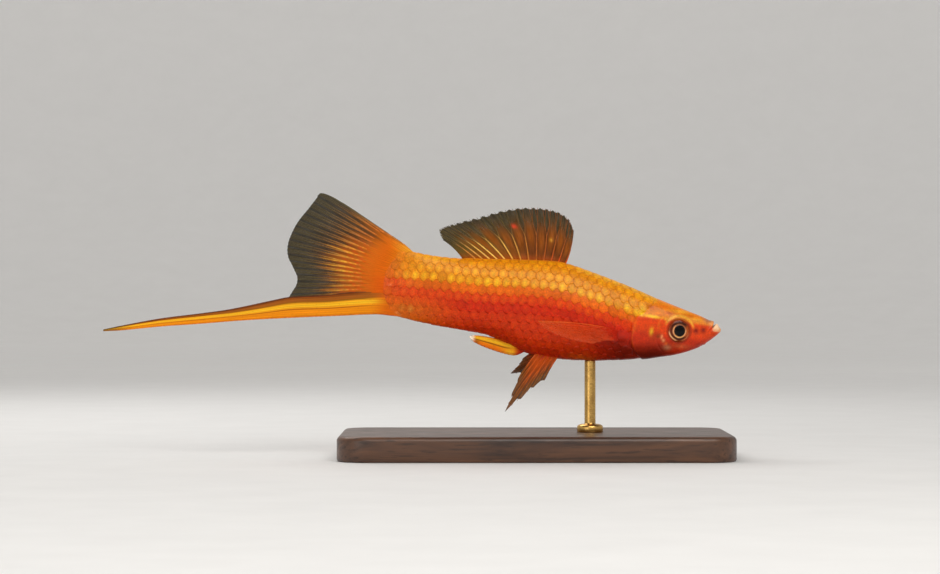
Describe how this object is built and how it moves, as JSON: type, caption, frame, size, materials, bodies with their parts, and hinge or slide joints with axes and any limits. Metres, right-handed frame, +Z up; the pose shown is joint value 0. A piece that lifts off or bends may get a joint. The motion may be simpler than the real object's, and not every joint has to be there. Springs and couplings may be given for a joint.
{
  "type": "swordtail",
  "caption": "Life-size male swordtail fish, nose slightly down, with a raised dorsal fin and a tail fin drawn out into a long sword, held by a rod on a flat wooden base.",
  "frame": {"origin": "centre of the flat underside of the stand's base, on the surface that it rests on", "axes": "+X towards the fish's head, +Y its left side, +Z up"},
  "size_m": [0.1256, 0.042, 0.0528],
  "materials": {
    "skin_orange": "wet scaled skin",
    "skin_red": "wet smooth skin",
    "lip": "moist lip skin",
    "fin_membrane": "thin translucent ribbed fin",
    "sword_fin": "ribbed fin",
    "eye": "high gloss eye",
    "stand_wood": "satin dark walnut",
    "stand_brass": "polished"
  },
  "bodies": {
    "root": {"head": "skin_red", "lower_jaw": "lip", "torso": "skin_orange", "tail": "skin_orange", "dorsal_fin": "fin_membrane", "tail_fan": "fin_membrane", "sword": "sword_fin", "anal_fin": "sword_fin", "eye_left": "eye", "eye_right": "eye", "pectoral_fin_left": "fin_membrane", "pectoral_fin_right": "fin_membrane", "pelvic_fin_left": "fin_membrane", "pelvic_fin_right": "fin_membrane", "stand_base": "stand_wood", "stand_rod": "stand_brass"}
  },
  "joints": []
}
